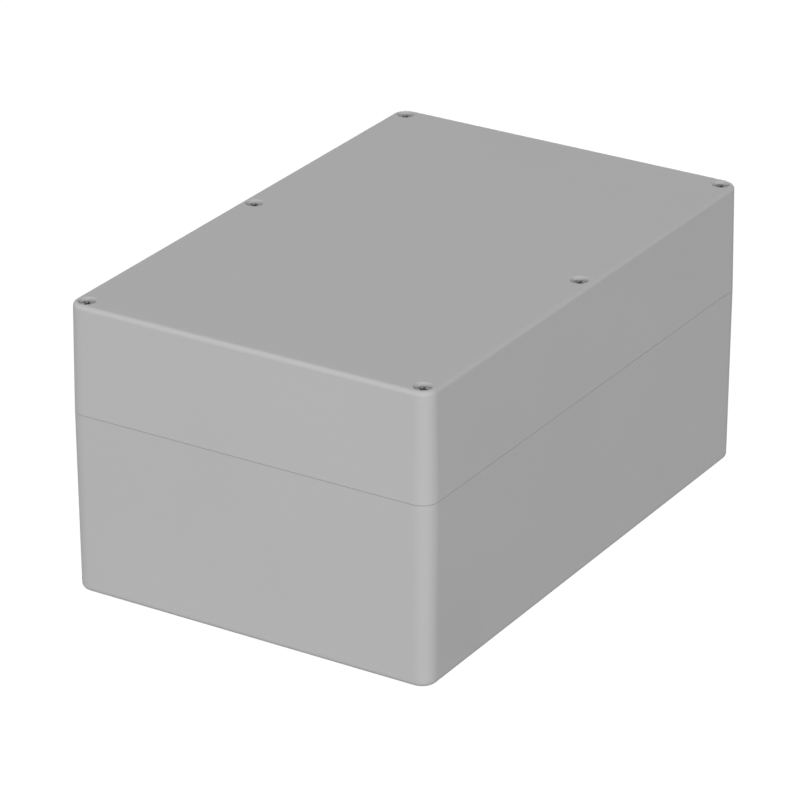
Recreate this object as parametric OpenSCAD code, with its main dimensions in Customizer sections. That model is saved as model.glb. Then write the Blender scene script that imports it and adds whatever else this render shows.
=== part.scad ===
// Sealed plastic enclosure: a deep base and a lid that meet face to face, held by six captive lid screws.
// The origin is the middle of the underside, +X runs along the length and +Z points up.
// The rims of base and lid meet at the parting plane, where the case is at its full length and width.

/* [Case] */
// Length at the parting plane
length = 240; // [180:1:320]
// Width at the parting plane
width = 160; // [120:1:220]
// Height of the base, from the underside to the parting plane
base_height = 75; // [50:1:110]
// Height of the lid, from the parting plane to the top
lid_height = 45; // [30:1:80]
// Thickness of the upright walls
wall = 4; // [3.6:0.1:5]
// Thickness of the base floor
floor_t = 3.5; // [2.8:0.1:5]
// Thickness of the lid top
top_t = 3.5; // [2.5:0.1:5]

/* [Moulded edges] */
// Radius of the upright corners at the parting plane
corner_r = 7; // [6:0.5:10]
// Radius of the edge around the lid top
top_edge_r = 1.9; // [0.8:0.1:3]
// Radius of the edge around the underside
foot_edge_r = 2.2; // [0.8:0.1:3]
// Radius where the walls meet the floor and the lid top inside
inner_edge_r = 2.5; // [1:0.1:5]
// Height of the shadow gap under the lid rim, which shows as the seam line
seam_gap = 0.2; // [0.1:0.05:0.5]
// Depth of the shadow gap under the lid rim
seam_depth = 0.6; // [0.2:0.05:0.7]
// How far each base wall leans in between the parting plane and the underside
base_draft = 0.5; // [0.2:0.05:1.2]
// How far each lid wall leans in between the parting plane and the top
lid_draft = 0.6; // [0.2:0.05:1.2]

/* [Seal] */
// Width of the outer land where the two rims touch
land_w = 1.3; // [1:0.1:1.7]
// Width of the groove in the lid rim
groove_w = 1.7; // [1.3:0.1:2.1]
// Depth of the groove in the lid rim
groove_depth = 3.5; // [2.8:0.1:6]
// Height of the tongue on the base rim
tongue_h = 2; // [1:0.1:2.5]
// Gap on each side of the tongue in the groove
tongue_gap = 0.2; // [0.1:0.05:0.4]
// Gap on each side of the gasket in the groove
gasket_gap = 0.1; // [0.05:0.05:0.3]

/* [Lid screws] */
// Thread diameter
screw_d = 4; // [3.5:0.1:4.4]
// Diameter of the waisted shank
waist_d = 3.1; // [2.4:0.1:3.3]
// Head diameter
head_d = 6; // [5.4:0.1:8]
// Head height
head_h = 2.6; // [2.2:0.1:3.5]
// Depth of the head top below the lid top
head_recess = 1.1; // [0.5:0.1:3]
// Gap around the head in its counterbore
head_gap = 0.45; // [0.1:0.05:1]
// Chamfer around the mouth of a counterbore
bore_chamfer = 0.25; // [0.1:0.05:0.45]
// Flat of the lid top between the mouth of a counterbore and the edge radius
bore_land = 0.1; // [0.1:0.05:2]
// Gap around the thread in the lid tube
thread_gap = 0.2; // [0.1:0.05:0.3]
// Gap around the waist in the land that keeps the screw in the lid
waist_gap = 0.2; // [0.1:0.05:0.25]
// Thickness of the land that keeps the screw in the lid
retainer_t = 2; // [1:0.1:4]
// Length of the thread
thread_len = 10; // [9:0.5:14]
// Lift of a free screw until its thread meets the land
screw_travel = 9; // [8.9:0.1:12]
// Width of the slots of the cross recess
recess_slot_w = 1.1; // [0.8:0.05:1.4]
// Span of the cross recess
recess_span = 4.4; // [3:0.1:4.6]
// Depth of the cross recess
recess_depth = 1.7; // [1:0.1:2]

/* [Threaded inserts] */
// Outer diameter of an insert
insert_d = 5.6; // [5.4:0.1:6.4]
// Length of an insert
insert_len = 8; // [6:0.1:8.2]
// Depth of the insert top below the parting plane
insert_sink = 0.5; // [0.2:0.1:0.6]
// Gap around the insert in its pocket
insert_gap = 0.05; // [0.02:0.01:0.1]
// Gap around the screw thread in the insert
insert_bore_gap = 0.05; // [0.03:0.01:0.1]
// Width of the groove between the two bands of an insert
insert_groove_w = 1.6; // [1:0.1:3]
// Depth of the groove between the two bands of an insert
insert_groove_depth = 0.3; // [0.1:0.05:0.5]

/* [Posts] */
// Plastic between an insert or a fixing channel and the seal
post_wall = 1.4; // [1:0.1:3]
// Radius of the upright edges of the posts, measured at the outer side of the seal
post_edge_r = 3.5; // [1.5:0.1:4]
// Room for the screw tip under an insert
tip_room = 3; // [1:0.5:10]

/* [Wall fixing] */
// Diameter of the fixing holes in the floor
fixing_d = 4.5; // [3.5:0.1:5.5]
// Diameter of the channel for the fixing screw and its head
channel_d = 8.5; // [7:0.1:10]
// Thickness of plastic under the fixing screw head
fixing_land = 4; // [3:0.1:8]
// Distance from a corner lid screw to the fixing hole beside it
fixing_pitch = 11.7; // [10:0.1:20]
// Plastic outside a fixing channel, measured at the parting plane
fixing_edge_wall = 2.75; // [2.5:0.05:5]
// Radius of the upright edges of the hollow in the lid above each fixing channel
hollow_edge_r = 2; // [1:0.1:3]

/* [Floor bosses] */
// Boss diameter
boss_d = 8; // [6:0.1:10]
// Boss height above the floor
boss_h = 6; // [3:0.5:15]
// Diameter of the pilot hole in a boss
pilot_d = 3.2; // [2:0.1:4]
// Plastic left in the floor under a pilot hole
pilot_floor = 2.5; // [1.5:0.1:2.8]
// Distance from the end wall outside to the bosses
boss_edge_x = 25; // [24:1:50]
// Distance from the side wall outside to the outer bosses
boss_edge_y = 20; // [18:1:35]

/* [Hidden] */
$fn = 96;
// Overlap that lets cuts and joined pieces run past a face
over = 1;

case_grey = "#b4b5b6";
gasket_black = "#2c2d2e";
screw_steel = "#a9abac";
insert_brass = "#c2a14d";

case_height = base_height + lid_height;

// The outer edges of the two rims: the base's is plain, and the lid's is cut back to leave the shadow gap.
base_rim = [[0, 0]];
lid_rim = [[-seam_depth, 0], [-seam_depth, seam_gap], [0, seam_gap]];

seat_z = case_height - head_recess - head_h;
tube_d = screw_d + 2 * thread_gap;
head_bore_d = head_d + 2 * head_gap;
retainer_d = waist_d + 2 * waist_gap;

insert_top_z = base_height - insert_sink;
insert_foot_z = insert_top_z - insert_len;
insert_bore_d = screw_d + 2 * insert_bore_gap;
insert_pocket_d = insert_d + 2 * insert_gap;
insert_chamfer = 0.4;

// The thread ends just past the insert, and the land sits just above the thread of a lifted screw.
tip_past_insert = 0.1;
tip_z = insert_foot_z - tip_past_insert;
screw_len = seat_z - tip_z;
retainer_gap = 0.3;
retainer_z = tip_z + thread_len + screw_travel + retainer_gap;
tip_chamfer = 0.6;
thread_runout = (screw_d - waist_d) / 2;
head_edge = 0.35;
recess_tip_d = 1.2;

// The lid screws sit as far out as the flat of the lid top lets them.
screw_inset = lid_draft + top_edge_r + bore_land + bore_chamfer + head_bore_d / 2;
screw_x = length / 2 - screw_inset;
screw_y = width / 2 - screw_inset;
screw_places = [
    for (side = [[-1, -1], [0, -1], [1, -1], [1, 1], [0, 1], [-1, 1]]) [side.x * screw_x, side.y * screw_y]
];

fixing_inset = channel_d / 2 + fixing_edge_wall;
fixing_x = length / 2 - fixing_inset;
fixing_y = screw_y - fixing_pitch;
fixing_places = [for (x = [-1, 1], y = [-1, 1]) [x * fixing_x, y * fixing_y]];

boss_x = length / 2 - boss_edge_x;
boss_y = width / 2 - boss_edge_y;
boss_places = [for (x = [-1, 1], y = [-1, 0, 1]) [x * boss_x, y * boss_y]];
boss_top_z = floor_t + boss_h;

screw_names = [for (place = [1:len(screw_places)]) str("lid_screw_", place)];

// The seal runs along the walls and around the inner side of the posts. Its lines are parallel curves, named by
// their distance in from the outside: the rims' outer land ends at land_w and the walls end at wall.
function screw_reach(inset) = insert_pocket_d / 2 + post_wall + inset - land_w;
function channel_reach(inset) = channel_d / 2 + post_wall + inset - land_w;
function post_radius(inset) = post_edge_r + inset - land_w;

// How deep and how long the corner posts and the middle posts are, measured from the outside of the case.
function corner_depth(inset) = max(screw_inset + screw_reach(inset), fixing_inset + channel_reach(inset));
function corner_length(inset) = screw_inset + fixing_pitch + channel_reach(inset);
function middle_depth(inset) = screw_inset + screw_reach(inset);

// One quarter of the line inside the posts, as corners of x, y and radius, anticlockwise from the +X wall.
function quarter_line(wall_inset, post_inset, wall_r) =
    let (
        x = length / 2 - corner_depth(post_inset),
        y = width / 2 - corner_length(post_inset),
        middle_x = screw_reach(post_inset),
        middle_y = width / 2 - middle_depth(post_inset),
        post_r = post_radius(post_inset),
        wall_x = length / 2 - wall_inset,
        wall_y = width / 2 - wall_inset
    )
    [
        [wall_x, y, wall_r, "outer"],
        [x, y, post_r, "inner"],
        [x, wall_y, wall_r, "outer"],
        [middle_x, wall_y, wall_r, "outer"],
        [middle_x, middle_y, post_r, "inner"]
    ];

function turned(line, x_sign, y_sign) = [for (c = line) [x_sign * c[0], y_sign * c[1], c[2], c[3]]];
function backwards(line) = [for (k = [len(line) - 1:-1:0]) line[k]];
function whole_line(quarter) = concat(
    quarter,
    backwards(turned(quarter, -1, 1)),
    turned(quarter, -1, -1),
    backwards(turned(quarter, 1, -1))
);

// A closed line inside the walls and posts, at the given distance in from the outside.
function seal_line(inset) = whole_line(quarter_line(inset, inset, wall - inset));

function direction(from, to) = (to - from) / norm(to - from);
function place(corner) = [corner[0], corner[1]];

// The points of a right-angled corner: where its arc starts, the arc's centre and where the arc ends.
function arc_points(before, corner, after) =
    let (
        back = corner[2] * direction(place(corner), place(before)),
        on = corner[2] * direction(place(corner), place(after))
    )
    [place(corner) + back, place(corner) + back + on, place(corner) + on];

// A right-angled outline whose corners, of x, y, radius and side, are true arcs.
module rounded_outline(corners) {
    count = len(corners);
    arcs = [
        for (k = [0:count - 1])
            arc_points(corners[(k + count - 1) % count], corners[k], corners[(k + 1) % count])
    ];
    difference() {
        union() {
            polygon([
                for (k = [0:count - 1])
                    each (corners[k][2] > 0 ? arcs[k] : [place(corners[k])])
            ]);
            for (k = [0:count - 1])
                if (corners[k][2] > 0 && corners[k][3] == "outer") quarter_disc(arcs[k], corners[k][2]);
        }
        for (k = [0:count - 1])
            if (corners[k][2] > 0 && corners[k][3] == "inner") quarter_disc(arcs[k], corners[k][2]);
    }
}

// The quarter of a disc between the two ends of an arc.
module quarter_disc(arc, r) {
    start = arc[0] - arc[1];
    end = arc[2] - arc[1];
    translate(arc[1]) intersection() {
        circle(r);
        polygon([[0, 0], 2 * start, 2 * (start + end), 2 * end]);
    }
}

module seal_ring(outer_inset, inner_inset) {
    difference() {
        rounded_outline(seal_line(outer_inset));
        rounded_outline(seal_line(inner_inset));
    }
}

// Half of a leaning section, drawn from the middle outwards, with the rim at zero and the closed end at depth.
// The rim's points are given relative to the reach of the rim.
module leaning_section(reach, rim, draft, depth, edge_r) {
    end = reach - draft;
    arc_x = end - edge_r;
    arc_y = depth - edge_r;
    polygon(concat(
        [[0, rim[0].y]],
        [for (point = rim) [reach + point.x, point.y]],
        [[end, arc_y], [arc_x, arc_y], [arc_x, depth], [0, depth]]
    ));
    quarter_disc([[end, arc_y], [arc_x, arc_y], [arc_x, depth]], edge_r);
}

// The outside of base or lid: a leaning section taken along the four sides and around the four corners.
module case_block(rim, draft, height, edge_r) {
    corner = [length / 2 - corner_r, width / 2 - corner_r];
    for (side = [0:3]) {
        across = corner[side % 2];
        along = corner[(side + 1) % 2];
        rotate(90 * side) translate([across, along, 0]) {
            rotate([90, 0, 0]) linear_extrude(2 * along) leaning_section(corner_r, rim, draft, height, edge_r);
            rotate_extrude(angle = 90) leaning_section(corner_r, rim, draft, height, edge_r);
        }
    }
    translate([-corner.x, -corner.y, 0]) cube([2 * corner.x, 2 * corner.y, height]);
}

// The hollow of base or lid: leaning walls with rounded edges at the closed end, kept clear of the posts.
module cavity(depth, draft) {
    intersection() {
        cavity_run(length / 2 - wall, width, depth, draft);
        rotate(90) cavity_run(width / 2 - wall, length, depth, draft);
        translate([0, 0, -2 * over]) linear_extrude(depth + 4 * over)
            rounded_outline(whole_line(quarter_line(land_w, wall, 0)));
    }
}

module cavity_run(reach, run, depth, draft) {
    translate([0, run / 2, 0]) rotate([90, 0, 0]) linear_extrude(run)
        for (side = [0, 1])
            mirror([side, 0]) leaning_section(reach, [[0, -over], [0, 0]], draft, depth, inner_edge_r);
}

// Drawn from the parting plane: the lid rises from it, and the base hangs from it.
module above_parting() {
    translate([0, 0, base_height]) children();
}

module below_parting() {
    translate([0, 0, base_height]) rotate([180, 0, 0]) children();
}

module at_places(places) {
    for (p = places) translate(p) children();
}

// A round hole or pin along Z between two heights.
module round_bar(d, from_z, to_z) {
    translate([0, 0, from_z]) cylinder(d = d, h = to_z - from_z);
}

module base() {
    color(case_grey) difference() {
        union() {
            difference() {
                below_parting() case_block(base_rim, base_draft, base_height, foot_edge_r);
                below_parting() cavity(base_height - floor_t, base_draft);
            }
            translate([0, 0, base_height - over]) linear_extrude(tongue_h + over)
                seal_ring(land_w + tongue_gap, land_w + groove_w - tongue_gap);
            at_places(boss_places) round_bar(boss_d, floor_t - over, boss_top_z);
        }
        at_places(screw_places) {
            round_bar(insert_pocket_d, insert_foot_z, base_height + over);
            round_bar(tube_d, tip_z - tip_room, insert_foot_z + over);
        }
        at_places(fixing_places) {
            round_bar(fixing_d, -over, fixing_land + over);
            round_bar(channel_d, fixing_land, base_height + over);
        }
        at_places(boss_places) round_bar(pilot_d, pilot_floor, boss_top_z + over);
    }
}

module lid() {
    color(case_grey) difference() {
        above_parting() case_block(lid_rim, lid_draft, lid_height, top_edge_r);
        above_parting() cavity(lid_height - top_t, lid_draft);
        translate([0, 0, base_height - over]) linear_extrude(groove_depth + over)
            seal_ring(land_w, land_w + groove_w);
        at_places(screw_places) screw_tube();
        at_places(fixing_places) fixing_hollow();
    }
}

// The stepped hole of a lid screw: chamfered counterbore, clear tube, and the land that the thread can't pass.
module screw_tube() {
    bore_r = head_bore_d / 2;
    round_bar(head_bore_d, seat_z, case_height);
    translate([0, 0, case_height - bore_chamfer])
        cylinder(r1 = bore_r, r2 = bore_r + bore_chamfer + over, h = bore_chamfer + over);
    round_bar(tube_d, retainer_z + retainer_t, seat_z + over);
    round_bar(retainer_d, retainer_z - over, retainer_z + retainer_t + over);
    round_bar(tube_d, base_height - over, retainer_z);
}

// The lid is hollow above each fixing channel, so that its corner posts aren't thick.
module fixing_hollow() {
    half = channel_d / 2;
    sides = [[1, 1], [-1, 1], [-1, -1], [1, -1]];
    translate([0, 0, base_height - over]) linear_extrude(lid_height - top_t + over)
        rounded_outline([for (s = sides) [half * s.x, half * s.y, hollow_edge_r, "outer"]]);
}

// The gasket fills the groove above the tongue.
module gasket() {
    color(gasket_black) translate([0, 0, base_height + tongue_h]) linear_extrude(groove_depth - tongue_h)
        seal_ring(land_w + gasket_gap, land_w + groove_w - gasket_gap);
}

module threaded_inserts() {
    color(insert_brass) at_places(screw_places) threaded_insert();
}

// A turned insert: two bands with a groove between them, and a chamfered bore.
module threaded_insert() {
    bore_r = insert_bore_d / 2;
    outer_r = insert_d / 2;
    groove_r = outer_r - insert_groove_depth;
    groove_foot = (insert_len - insert_groove_w) / 2;
    translate([0, 0, insert_foot_z]) rotate_extrude() polygon([
        [bore_r, 0],
        [outer_r, 0],
        [outer_r, groove_foot],
        [groove_r, groove_foot],
        [groove_r, groove_foot + insert_groove_w],
        [outer_r, groove_foot + insert_groove_w],
        [outer_r, insert_len],
        [bore_r + insert_chamfer, insert_len],
        [bore_r, insert_len - insert_chamfer]
    ]);
}

// A captive screw: a cylindrical head, a waisted shank, and a thread at the tip only.
module lid_screw(index) {
    thread_r = screw_d / 2;
    waist_r = waist_d / 2;
    head_r = head_d / 2;
    thread_top_z = tip_z + thread_len;
    head_top_z = seat_z + head_h;
    color(screw_steel) translate(screw_places[index]) difference() {
        rotate_extrude() polygon([
            [0, tip_z],
            [thread_r - tip_chamfer, tip_z],
            [thread_r, tip_z + tip_chamfer],
            [thread_r, thread_top_z - thread_runout],
            [waist_r, thread_top_z],
            [waist_r, seat_z],
            [head_r, seat_z],
            [head_r, head_top_z - head_edge],
            [head_r - head_edge, head_top_z],
            [0, head_top_z]
        ]);
        translate([0, 0, head_top_z - recess_depth]) cross_recess();
    }
}

// Two crossed slots that grow shallower towards their ends.
module cross_recess() {
    slope = (recess_span - recess_tip_d) / 2 / recess_depth;
    top = recess_depth + over;
    intersection() {
        for (turn = [0, 90])
            rotate(turn) translate([-recess_span, -recess_slot_w / 2, 0])
                cube([2 * recess_span, recess_slot_w, top]);
        cylinder(h = top, r1 = recess_tip_d / 2, r2 = recess_tip_d / 2 + slope * top);
    }
}

base();
lid();
gasket();
threaded_inserts();
for (index = [0:len(screw_names) - 1]) {
    lid_screw(index);
}
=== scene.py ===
import math

import bmesh
import bpy
from bmesh.types import BMEdge, BMFace, BMVert
from mathutils import Matrix, Vector


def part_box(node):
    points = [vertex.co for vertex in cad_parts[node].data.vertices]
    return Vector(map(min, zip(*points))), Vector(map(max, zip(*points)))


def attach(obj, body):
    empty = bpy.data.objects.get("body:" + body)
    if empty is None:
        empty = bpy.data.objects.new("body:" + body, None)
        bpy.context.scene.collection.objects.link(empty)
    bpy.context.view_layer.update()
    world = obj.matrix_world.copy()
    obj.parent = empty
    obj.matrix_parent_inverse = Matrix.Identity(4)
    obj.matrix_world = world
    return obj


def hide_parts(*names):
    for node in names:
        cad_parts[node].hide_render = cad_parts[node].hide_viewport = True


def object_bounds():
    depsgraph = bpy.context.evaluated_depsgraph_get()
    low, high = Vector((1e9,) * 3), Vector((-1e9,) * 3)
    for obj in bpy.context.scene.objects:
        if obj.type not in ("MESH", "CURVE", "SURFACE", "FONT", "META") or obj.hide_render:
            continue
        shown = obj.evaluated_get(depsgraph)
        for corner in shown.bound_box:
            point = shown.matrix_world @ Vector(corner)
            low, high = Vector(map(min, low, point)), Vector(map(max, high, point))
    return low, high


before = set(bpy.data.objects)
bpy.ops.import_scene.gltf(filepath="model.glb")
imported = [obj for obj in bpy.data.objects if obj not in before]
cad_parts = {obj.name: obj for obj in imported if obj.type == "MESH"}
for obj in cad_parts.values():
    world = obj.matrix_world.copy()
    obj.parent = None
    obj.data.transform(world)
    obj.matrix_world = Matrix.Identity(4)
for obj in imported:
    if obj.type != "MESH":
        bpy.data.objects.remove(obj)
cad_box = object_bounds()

# Sizes below are in millimetres unless a comment says otherwise, and the scene is in metres
MM = 0.001
# Points that lie closer together than this are one point
TINY = 0.002 * MM
FULL_TURN = 2 * math.pi

# Camera: where it stands, seen from the middle of the case, how far it sees in metres, and its lens
CAMERA_AZIMUTH = math.radians(-58.448)
CAMERA_ELEVATION = math.radians(24.509)
CAMERA_DISTANCE = 1751.3
CAMERA_REACH = 20
CAMERA_LENS = 201.03
# The image, and where the middle of the case lies in it, in pixels from its top left corner
IMAGE_SIZE = 800
CASE_MIDDLE_IN_IMAGE = (413.74, 381.80)

# Soft boxes: name, direction from the middle of the case, distance and size in metres, and watts
SOFT_BOXES = [
    ("head", (-0.702, -0.492, 0.515), 9.0, (3.6, 3.6), 667),
    ("wing", (-0.157, 0.893, 0.423), 4.5, (1.8, 1.8), 55),
    ("strip", (0.94, 0.342, 0.0), 1.5, (0.6, 0.11), 5),
]

# Studio: the even light from all around, and a grey floor that glows white where it is seen
WHITE = "#ffffff"
AMBIENT = 0.212
FLOOR_GREY = "#b4b4b4"
FLOOR_DROP = 0.2
FLOOR_HALF_SIZE = 8000
FLOOR_GLOW = 1.15
FLOOR_GLOW_SHARE = 0.85

# Lid screws: how many there are, and the sizes that the box of a screw doesn't give. The flat of a head is
# given as a share of its radius.
SCREW_COUNT = 6
HEAD_HEIGHT = 2.6
HEAD_ROUNDING = 0.35
HEAD_FLAT_SHARE = 0.84
SEAT_ROUNDING = 0.3
WAIST_D = 3.1
THREAD_D = 4.0
THREAD_CORE_D = 3.24
THREAD_PITCH = 0.7
THREAD_LENGTH = 10.0
THREAD_RUNOUT = 0.45
TIP_CHAMFER = 0.6
SLOT_WIDTH = 1.1
SLOT_SPAN = 4.4
SLOT_CORNER = 0.16
# The recess narrows as it sinks: the depth of each step, and its plan as a share of the step above
SLOT_STEPS = [(0.1, 0.95), (1.2, 0.93), (0.4, 0.3)]

# Threaded inserts: the sizes that their box doesn't give
INSERT_D = 5.6
INSERT_BORE_D = 4.7
INSERT_CREST_D = 4.14
INSERT_GROOVE_WIDTH = 1.6
INSERT_GROOVE_D = 5.0
INSERT_CHAMFER = 0.4
KNURL_DEPTH = 0.18

# A thread ridge: half the width of its foot and of its flat crest as shares of the pitch, how far it sinks
# into what carries it, the turns over which it fades at each end, and the share of its height left there
RIDGE_FOOT_SHARE = 0.45
RIDGE_CREST_SHARE = 0.07
RIDGE_SINK = 0.06
RIDGE_FADE_TURNS = 0.6
RIDGE_END_SHARE = 0.1

# Gasket: the rounding of its lips, the angle up to which faces are one flat face, and the least angle of an
# edge that becomes a lip
GASKET_ROUNDING = 0.4
FLAT_ANGLE = math.radians(0.5)
LIP_ANGLE = math.radians(60)

# How finely round shapes are drawn, and the angle past which an edge shows as sharp
THREAD_STEPS = 36
SPIN_STEPS = 72
BEVEL_STEPS = 4
SHARP_ANGLE = math.radians(32)


def linear(hex_colour):
    """An sRGB hex colour as linear red, green, blue and alpha."""
    channels = [int(hex_colour[at:at + 2], 16) / 255 for at in (1, 3, 5)]
    return [c / 12.92 if c <= 0.04045 else ((c + 0.055) / 1.055) ** 2.4 for c in channels] + [1.0]


def add(tree, kind, inputs=None, **settings):
    """Adds a node: settings are its own properties, inputs are values to set or sockets to link."""
    node = tree.nodes.new("ShaderNode" + kind)
    for name, value in settings.items():
        setattr(node, name, value)
    for name, value in (inputs or {}).items():
        if isinstance(value, bpy.types.NodeSocket):
            tree.links.new(value, node.inputs[name])
        else:
            node.inputs[name].default_value = value
    return node


def new_material(name):
    """A material with no nodes yet, and its node tree."""
    material = bpy.data.materials.new(name)
    material.use_nodes = True
    material.node_tree.nodes.clear()
    return material, material.node_tree


def per_metre(size):
    """The scale of a pattern whose marks are that many millimetres apart."""
    return 1 / (size * MM)


def moulded_abs():
    # ABS, injection-moulded in a spark-eroded tool: an even light grey with no clear reflections. Its
    # texture is about 0.08 mm across, and is drawn at 0.4 mm because a finer one would not show. The melt
    # leaves clouds that are barely lighter or darker, and the tool is a little duller in some places.
    grain_size = 0.4
    grain_height = 0.014
    cloud_size = 70
    sheen_patch_size = 24
    material, tree = new_material("moulded_abs")
    place = add(tree, "TexCoord").outputs["Object"]
    clouds = add(tree, "TexNoise", {"Vector": place, "Scale": per_metre(cloud_size), "Detail": 2.0})
    tone = add(tree, "ValToRGB", {0: clouds.outputs[0]})
    tone.color_ramp.elements[0].color = linear("#b6b6b6")
    tone.color_ramp.elements[1].color = linear("#bababa")
    patches = add(tree, "TexNoise", {"Vector": place, "Scale": per_metre(sheen_patch_size), "Detail": 3.0})
    rough = add(tree, "MapRange", {"Value": patches.outputs[0], "To Min": 0.58, "To Max": 0.62})
    grain = add(tree, "TexNoise", {"Vector": place, "Scale": per_metre(grain_size), "Detail": 2.0})
    bump = add(tree, "Bump", {"Height": grain.outputs[0], "Distance": grain_height * MM})
    shader = add(tree, "BsdfPrincipled", {
        "Base Color": tone.outputs[0],
        "Roughness": rough.outputs[0],
        "Normal": bump.outputs[0],
        "IOR": 1.54,
        "Specular IOR Level": 0.25,
    })
    add(tree, "OutputMaterial", {"Surface": shader.outputs[0]})
    return material


def cold_headed_stainless():
    # Stainless steel, cold-headed and thread-rolled, then tumbled: a plain grey metal whose reflections are
    # blurred by small dents, with duller and darker scuffs between them.
    dent_size = 0.6
    dent_height = 0.012
    scuff_size = 0.35
    material, tree = new_material("cold_headed_stainless")
    place = add(tree, "TexCoord").outputs["Object"]
    scuffs = add(tree, "TexNoise", {
        "Vector": place,
        "Scale": per_metre(scuff_size),
        "Detail": 4.0,
        "Roughness": 0.6,
    })
    tone = add(tree, "ValToRGB", {0: scuffs.outputs[0]})
    tone.color_ramp.elements[0].position = 0.3
    tone.color_ramp.elements[0].color = linear("#7c7e80")
    tone.color_ramp.elements[1].position = 0.7
    tone.color_ramp.elements[1].color = linear("#9a9c9e")
    rough = add(tree, "MapRange", {"Value": scuffs.outputs[0], "To Min": 0.5, "To Max": 0.36})
    dents = add(tree, "TexNoise", {"Vector": place, "Scale": per_metre(dent_size), "Detail": 1.0})
    bump = add(tree, "Bump", {"Height": dents.outputs[0], "Distance": dent_height * MM})
    shader = add(tree, "BsdfPrincipled", {
        "Base Color": tone.outputs[0],
        "Roughness": rough.outputs[0],
        "Normal": bump.outputs[0],
        "Metallic": 1.0,
    })
    add(tree, "OutputMaterial", {"Surface": shader.outputs[0]})
    return material


def turned_brass():
    # Free-cutting brass, turned on a bar lathe: a warm yellow metal with fine tool rings around it, drawn
    # at 0.2 mm so that they show, and browner patches where it has tarnished.
    ring_spacing = 0.2
    ring_height = 0.006
    tarnish_size = 2.5
    # The wave texture turns through this many radians in one unit of its scaled space
    wave_radians = 20
    material, tree = new_material("turned_brass")
    place = add(tree, "TexCoord").outputs["Object"]
    tarnish = add(tree, "TexNoise", {"Vector": place, "Scale": per_metre(tarnish_size), "Detail": 4.0})
    tone = add(tree, "ValToRGB", {0: tarnish.outputs[0]})
    tone.color_ramp.elements[0].position = 0.3
    tone.color_ramp.elements[0].color = linear("#b39658")
    tone.color_ramp.elements[1].position = 0.65
    tone.color_ramp.elements[1].color = linear("#d2ba7a")
    rough = add(tree, "MapRange", {"Value": tarnish.outputs[0], "To Min": 0.45, "To Max": 0.22})
    rings = add(tree, "TexWave", {
        "Vector": place,
        "Scale": per_metre(ring_spacing) * FULL_TURN / wave_radians,
        "Distortion": 0.6,
    }, bands_direction="Z")
    bump = add(tree, "Bump", {"Height": rings.outputs[1], "Distance": ring_height * MM})
    shader = add(tree, "BsdfPrincipled", {
        "Base Color": tone.outputs[0],
        "Roughness": rough.outputs[0],
        "Normal": bump.outputs[0],
        "Metallic": 1.0,
    })
    add(tree, "OutputMaterial", {"Surface": shader.outputs[0]})
    return material


def extruded_rubber():
    # EPDM rubber, extruded and joined into a ring: nearly black and matt, with a faint grey bloom in
    # patches and small pores in its skin.
    bloom_size = 6
    pore_size = 0.3
    pore_depth = 0.02
    material, tree = new_material("extruded_rubber")
    place = add(tree, "TexCoord").outputs["Object"]
    bloom = add(tree, "TexNoise", {"Vector": place, "Scale": per_metre(bloom_size), "Detail": 4.0})
    tone = add(tree, "ValToRGB", {0: bloom.outputs[0]})
    tone.color_ramp.elements[0].position = 0.35
    tone.color_ramp.elements[0].color = linear("#222324")
    tone.color_ramp.elements[1].position = 0.75
    tone.color_ramp.elements[1].color = linear("#343536")
    rough = add(tree, "MapRange", {"Value": bloom.outputs[0], "To Min": 0.62, "To Max": 0.82})
    pores = add(tree, "TexVoronoi", {"Vector": place, "Scale": per_metre(pore_size)})
    bump = add(tree, "Bump", {"Height": pores.outputs["Distance"], "Distance": pore_depth * MM})
    shader = add(tree, "BsdfPrincipled", {
        "Base Color": tone.outputs[0],
        "Roughness": rough.outputs[0],
        "Normal": bump.outputs[0],
        "IOR": 1.5,
        "Specular IOR Level": 0.3,
    })
    add(tree, "OutputMaterial", {"Surface": shader.outputs[0]})
    return material


def middle_of(box):
    low, high = box
    return (low + high) / 2


def only(kind, items):
    """The items of one kind in what a mesh operator gives back."""
    return [item for item in items if isinstance(item, kind)]


def round_off(bm, geom, rounding, affect="EDGES"):
    """Rounds edges or corners to arcs."""
    return bmesh.ops.bevel(
        bm, geom=geom, offset=rounding * MM, offset_type="OFFSET", affect=affect,
        segments=BEVEL_STEPS, profile=0.5, material=-1)


def ring_edges(bm, radius, height):
    """The edges of a spun shape that run around it at that radius and height."""
    def on_ring(vert):
        return abs(vert.co.xy.length - radius * MM) < TINY and abs(vert.co.z - height * MM) < TINY
    return [edge for edge in bm.edges if all(on_ring(vert) for vert in edge.verts)]


def spin_profile(bm, points, closed=False):
    """Spins a line of radius and height points once around the Z axis."""
    verts = [bm.verts.new((radius * MM, 0, height * MM)) for radius, height in points]
    ends = verts[1:] + verts[:1] if closed else verts[1:]
    edges = [bm.edges.new(pair) for pair in zip(verts, ends)]
    bmesh.ops.spin(
        bm, geom=verts + edges, cent=(0, 0, 0), axis=(0, 0, 1),
        angle=FULL_TURN, steps=SPIN_STEPS, use_merge=True)
    bmesh.ops.remove_doubles(bm, verts=bm.verts, dist=TINY)


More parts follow.
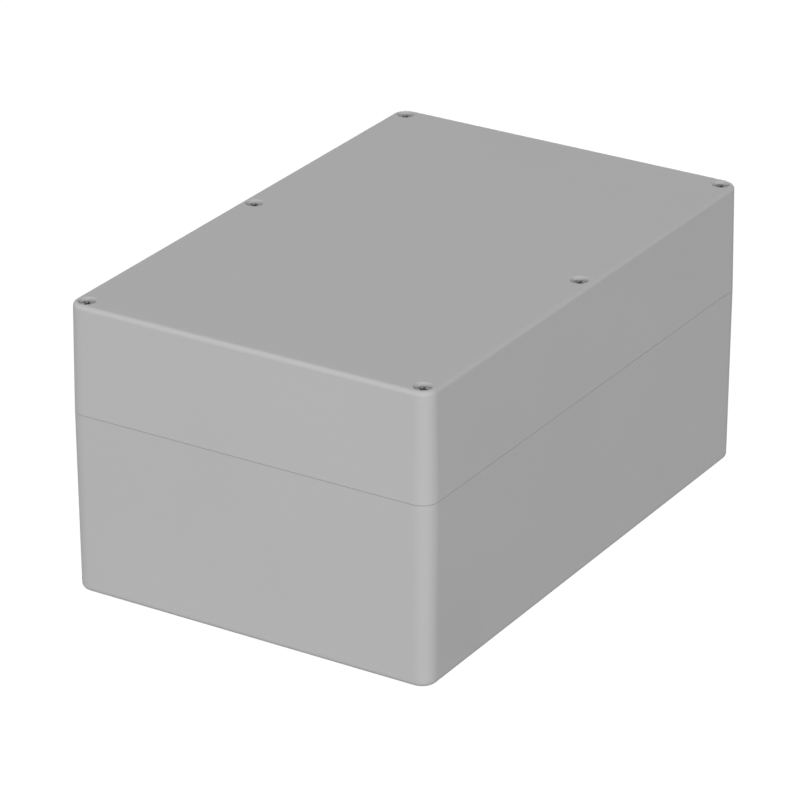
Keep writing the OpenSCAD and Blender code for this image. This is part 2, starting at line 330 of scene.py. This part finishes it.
def wind_ridge(carrier_r, crest_r, foot, turns):
    """A closed thread ridge on a shank or in a bore, wound up from that height and faded at both ends."""
    bm = bmesh.new()
    outwards = 1 if crest_r > carrier_r else -1
    sunk_r = carrier_r - outwards * RIDGE_SINK
    section = [
        (sunk_r, -RIDGE_FOOT_SHARE),
        (crest_r, -RIDGE_CREST_SHARE),
        (crest_r, RIDGE_CREST_SHARE),
        (sunk_r, RIDGE_FOOT_SHARE),
    ]
    verts = [bm.verts.new((r * MM, 0, (foot + share * THREAD_PITCH) * MM)) for r, share in section]
    first = [bm.edges.new(pair) for pair in zip(verts, verts[1:] + verts[:1])]
    spun = bmesh.ops.spin(
        bm, geom=verts + first, cent=(0, 0, 0), axis=(0, 0, 1), angle=FULL_TURN * turns,
        dvec=(0, 0, THREAD_PITCH / THREAD_STEPS * MM), steps=round(THREAD_STEPS * turns))
    last = only(BMEdge, spun["geom_last"])
    for end in (first, last):
        bmesh.ops.edgeloop_fill(bm, edges=end)
    fade = RIDGE_FADE_TURNS * THREAD_PITCH
    top = foot + turns * THREAD_PITCH
    for vert in bm.verts:
        height = vert.co.z / MM
        rise = min(1, max(RIDGE_END_SHARE, min(height - foot, top - height) / fade))
        radius = vert.co.xy.length / MM
        faded = sunk_r + (radius - sunk_r) * rise
        vert.co.xy *= faded / radius
    return bm


def sink_cross(bm, top):
    """Sinks the tapering cross recess from that height, and gives back the edges of its mouth."""
    centre = Vector((0, 0, top * MM))
    plan = bmesh.ops.create_grid(
        bm, x_segments=1, y_segments=1, size=SLOT_WIDTH / 2 * MM, matrix=Matrix.Translation(centre))
    middle = plan["verts"][0].link_faces[0]
    faces = [middle]
    for edge in list(middle.edges):
        outwards = ((edge.verts[0].co + edge.verts[1].co) / 2 - centre).normalized()
        arm = bmesh.ops.extrude_edge_only(bm, edges=[edge])["geom"]
        faces += only(BMFace, arm)
        bmesh.ops.translate(bm, verts=only(BMVert, arm), vec=outwards * (SLOT_SPAN - SLOT_WIDTH) / 2 * MM)
    cross = bmesh.ops.dissolve_faces(bm, faces=faces)["region"][0]
    rounded = round_off(bm, list(cross.verts), SLOT_CORNER, affect="VERTICES")
    cross = max(rounded["verts"][0].link_faces, key=lambda face: face.calc_area())
    mouth = list(cross.edges)
    for depth, share in SLOT_STEPS:
        sunk = bmesh.ops.extrude_face_region(bm, geom=[cross])["geom"]
        # The first step leaves the face that it came from, which would close the mouth
        if cross.is_valid:
            bmesh.ops.delete(bm, geom=[cross], context="FACES_ONLY")
        cross = only(BMFace, sunk)[0]
        verts = only(BMVert, sunk)
        bmesh.ops.scale(bm, verts=verts, vec=(share, share, 1))
        bmesh.ops.translate(bm, verts=verts, vec=(0, 0, -depth * MM))
    return mouth


def turn_outwards(shape):
    """Turns the faces of one closed shape outwards."""
    bmesh.ops.recalc_face_normals(shape, faces=shape.faces)
    if shape.calc_volume(signed=True) < 0:
        bmesh.ops.reverse_faces(shape, faces=shape.faces)


def mesh_of(bm, name):
    """Makes a shape a mesh, and frees the shape."""
    mesh = bpy.data.meshes.new(name)
    bm.to_mesh(mesh)
    bm.free()
    return mesh


def add_shape(bm, shape):
    """Adds a shape to a piece, and frees it."""
    mesh = mesh_of(shape, "shape")
    bm.from_mesh(mesh)
    bpy.data.meshes.remove(mesh)


def place_object(name, data):
    """Puts a mesh, a camera or a lamp in the scene."""
    placed = bpy.data.objects.new(name, data)
    bpy.context.collection.objects.link(placed)
    return placed


def finish_piece(bm, name, finish, body, node):
    """Makes the shape a piece that rides a body and stands for a CAD node."""
    mesh = mesh_of(bm, name)
    mesh.shade_smooth()
    mesh.set_sharp_from_angle(angle=SHARP_ANGLE)
    mesh.materials.append(finish)
    piece = place_object(name, mesh)
    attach(piece, body)
    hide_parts(node)


def make_screw(number, finish):
    """A captive cross-head screw: cylinder head, waisted shank, and a rolled thread at the tip only."""
    node = f"lid_screw_{number}"
    low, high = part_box(node)
    head_r = (high.x - low.x) / 2 / MM
    tip, top = low.z / MM, high.z / MM
    seat = top - HEAD_HEIGHT
    flat_r = head_r * HEAD_FLAT_SHARE
    waist_r, core_r, crest_r = WAIST_D / 2, THREAD_CORE_D / 2, THREAD_D / 2
    thread_top = tip + THREAD_LENGTH
    thread_foot = tip + TIP_CHAMFER
    bm = bmesh.new()
    spin_profile(bm, [
        (flat_r, top),
        (head_r, top),
        (head_r, seat),
        (waist_r, seat),
        (waist_r, thread_top),
        (core_r, thread_top - THREAD_RUNOUT),
        (core_r, thread_foot),
        (core_r - TIP_CHAMFER, tip),
        (0, tip),
    ])
    round_off(bm, ring_edges(bm, head_r, top), HEAD_ROUNDING)
    round_off(bm, ring_edges(bm, waist_r, seat), SEAT_ROUNDING)
    # The flat of the head lies between this ring and the mouth of the recess
    rim = ring_edges(bm, flat_r, top)
    mouth = sink_cross(bm, top)
    bmesh.ops.triangle_fill(bm, use_beauty=True, edges=rim + mouth)
    turn_outwards(bm)
    turns = (THREAD_LENGTH - TIP_CHAMFER - THREAD_RUNOUT) / THREAD_PITCH - 2 * RIDGE_FOOT_SHARE
    thread = wind_ridge(core_r, crest_r, thread_foot + RIDGE_FOOT_SHARE * THREAD_PITCH, turns)
    turn_outwards(thread)
    add_shape(bm, thread)
    middle = middle_of((low, high))
    bmesh.ops.translate(bm, verts=bm.verts, vec=(middle.x, middle.y, 0))
    finish_piece(bm, f"cross_head_screw_{number}", finish, f"screw_{number}", node)


def press_knurl(bm, radius):
    """Presses in every second line of the spun bands of that radius, which leaves straight knurl teeth."""
    for vert in bm.verts:
        line = round(math.atan2(vert.co.y, vert.co.x) / FULL_TURN * SPIN_STEPS)
        if line % 2 and vert.co.xy.length > radius * MM - TINY:
            vert.co.xy *= (radius - KNURL_DEPTH) / radius


def make_inserts(screw_numbers, finish):
    """The brass inserts: two knurled bands with a groove between them, and a chamfered, threaded bore."""
    low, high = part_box("threaded_inserts")
    foot, top = low.z / MM, high.z / MM
    bore_r, outer_r, groove_r = INSERT_BORE_D / 2, INSERT_D / 2, INSERT_GROOVE_D / 2
    groove_foot = (foot + top - INSERT_GROOVE_WIDTH) / 2
    groove_top = groove_foot + INSERT_GROOVE_WIDTH
    sleeve = bmesh.new()
    spin_profile(sleeve, [
        (bore_r, foot),
        (outer_r, foot),
        (outer_r, groove_foot),
        (groove_r, groove_foot),
        (groove_r, groove_top),
        (outer_r, groove_top),
        (outer_r, top),
        (bore_r + INSERT_CHAMFER, top),
        (bore_r, top - INSERT_CHAMFER),
    ], closed=True)
    press_knurl(sleeve, outer_r)
    turn_outwards(sleeve)
    turns = (top - foot - INSERT_CHAMFER) / THREAD_PITCH - 2 * RIDGE_FOOT_SHARE
    thread = wind_ridge(bore_r, INSERT_CREST_D / 2, foot + RIDGE_FOOT_SHARE * THREAD_PITCH, turns)
    turn_outwards(thread)
    add_shape(sleeve, thread)
    bm = bmesh.new()
    for number in screw_numbers:
        insert = sleeve.copy()
        middle = middle_of(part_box(f"lid_screw_{number}"))
        bmesh.ops.translate(insert, verts=insert.verts, vec=(middle.x, middle.y, 0))
        add_shape(bm, insert)
    sleeve.free()
    finish_piece(bm, "knurled_inserts", finish, "base", "threaded_inserts")


def make_gasket(finish):
    """The seal: the CAD ring with its edges rounded to lips."""
    bm = bmesh.new()
    bm.from_mesh(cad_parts["gasket"].data)
    bmesh.ops.remove_doubles(bm, verts=bm.verts, dist=TINY)
    bmesh.ops.dissolve_limit(
        bm, angle_limit=FLAT_ANGLE, use_dissolve_boundaries=False, verts=bm.verts, edges=bm.edges)
    lips = [edge for edge in bm.edges if edge.calc_face_angle(0) > LIP_ANGLE]
    round_off(bm, lips, GASKET_ROUNDING)
    turn_outwards(bm)
    finish_piece(bm, "seal_ring", finish, "lid", "gasket")


def seen_directly(tree):
    """1 for camera, glossy and transmission rays, which show the background, and 0 for bounced light."""
    path = add(tree, "LightPath")
    camera = path.outputs["Is Camera Ray"]
    glossy = path.outputs["Is Glossy Ray"]
    transmission = path.outputs["Is Transmission Ray"]
    shown = add(tree, "Math", {0: camera, 1: glossy}, operation="MAXIMUM")
    return add(tree, "Math", {0: shown.outputs[0], 1: transmission}, operation="MAXIMUM").outputs[0]


def make_camera():
    back = Vector((
        math.sin(CAMERA_AZIMUTH) * math.cos(CAMERA_ELEVATION),
        -math.cos(CAMERA_AZIMUTH) * math.cos(CAMERA_ELEVATION),
        math.sin(CAMERA_ELEVATION),
    ))
    data = bpy.data.cameras.new("camera")
    data.lens = CAMERA_LENS
    data.clip_end = CAMERA_REACH
    data.shift_x = (IMAGE_SIZE / 2 - CASE_MIDDLE_IN_IMAGE[0]) / IMAGE_SIZE
    data.shift_y = (CASE_MIDDLE_IN_IMAGE[1] - IMAGE_SIZE / 2) / IMAGE_SIZE
    camera = place_object("camera", data)
    camera.location = middle_of(cad_box) + CAMERA_DISTANCE * MM * back
    camera.rotation_euler = back.to_track_quat("Z", "Y").to_euler()
    bpy.context.scene.camera = camera


def make_floor():
    """A studio floor that shows as white and keeps a faint shadow of the case."""
    bm = bmesh.new()
    bmesh.ops.create_grid(bm, x_segments=1, y_segments=1, size=FLOOR_HALF_SIZE * MM)
    bmesh.ops.translate(bm, verts=bm.verts, vec=(0, 0, -FLOOR_DROP * MM))
    floor = place_object("floor", mesh_of(bm, "floor"))
    material, tree = new_material("studio_floor")
    paint = add(tree, "BsdfDiffuse", {"Color": linear(FLOOR_GREY)})
    white = add(tree, "Emission", {"Color": linear(WHITE), "Strength": FLOOR_GLOW})
    share = add(tree, "Math", {0: seen_directly(tree), 1: FLOOR_GLOW_SHARE}, operation="MULTIPLY")
    mixed = add(tree, "MixShader", {0: share.outputs[0], 1: paint.outputs[0], 2: white.outputs[0]})
    add(tree, "OutputMaterial", {"Surface": mixed.outputs[0]})
    floor.data.materials.append(material)


def make_world():
    """Even light on the case, from surroundings that show as white."""
    world = bpy.data.worlds.new("studio")
    bpy.context.scene.world = world
    world.use_nodes = True
    tree = world.node_tree
    tree.nodes.clear()
    light = add(tree, "Background", {"Color": linear(WHITE), "Strength": AMBIENT})
    white = add(tree, "Background", {"Color": linear(WHITE), "Strength": 1.0})
    mixed = add(tree, "MixShader", {0: seen_directly(tree), 1: light.outputs[0], 2: white.outputs[0]})
    add(tree, "OutputWorld", {"Surface": mixed.outputs[0]})


def make_soft_boxes():
    for name, direction, distance, (breadth, height), watts in SOFT_BOXES:
        data = bpy.data.lights.new(name, "AREA")
        data.shape = "RECTANGLE"
        data.size = breadth
        data.size_y = height
        data.energy = watts
        towards = Vector(direction).normalized()
        lamp = place_object(name, data)
        lamp.location = middle_of(cad_box) + distance * towards
        lamp.rotation_euler = towards.to_track_quat("Z", "Y").to_euler()
        lamp.visible_camera = False


case_finish = moulded_abs()
for node in ("base", "lid"):
    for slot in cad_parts[node].material_slots:
        slot.material = case_finish

screw_numbers = range(1, SCREW_COUNT + 1)
screw_finish = cold_headed_stainless()
for number in screw_numbers:
    make_screw(number, screw_finish)
make_inserts(screw_numbers, turned_brass())
make_gasket(extruded_rubber())

make_camera()
make_floor()
make_world()
make_soft_boxes()
bpy.context.scene.view_settings.view_transform = "Standard"
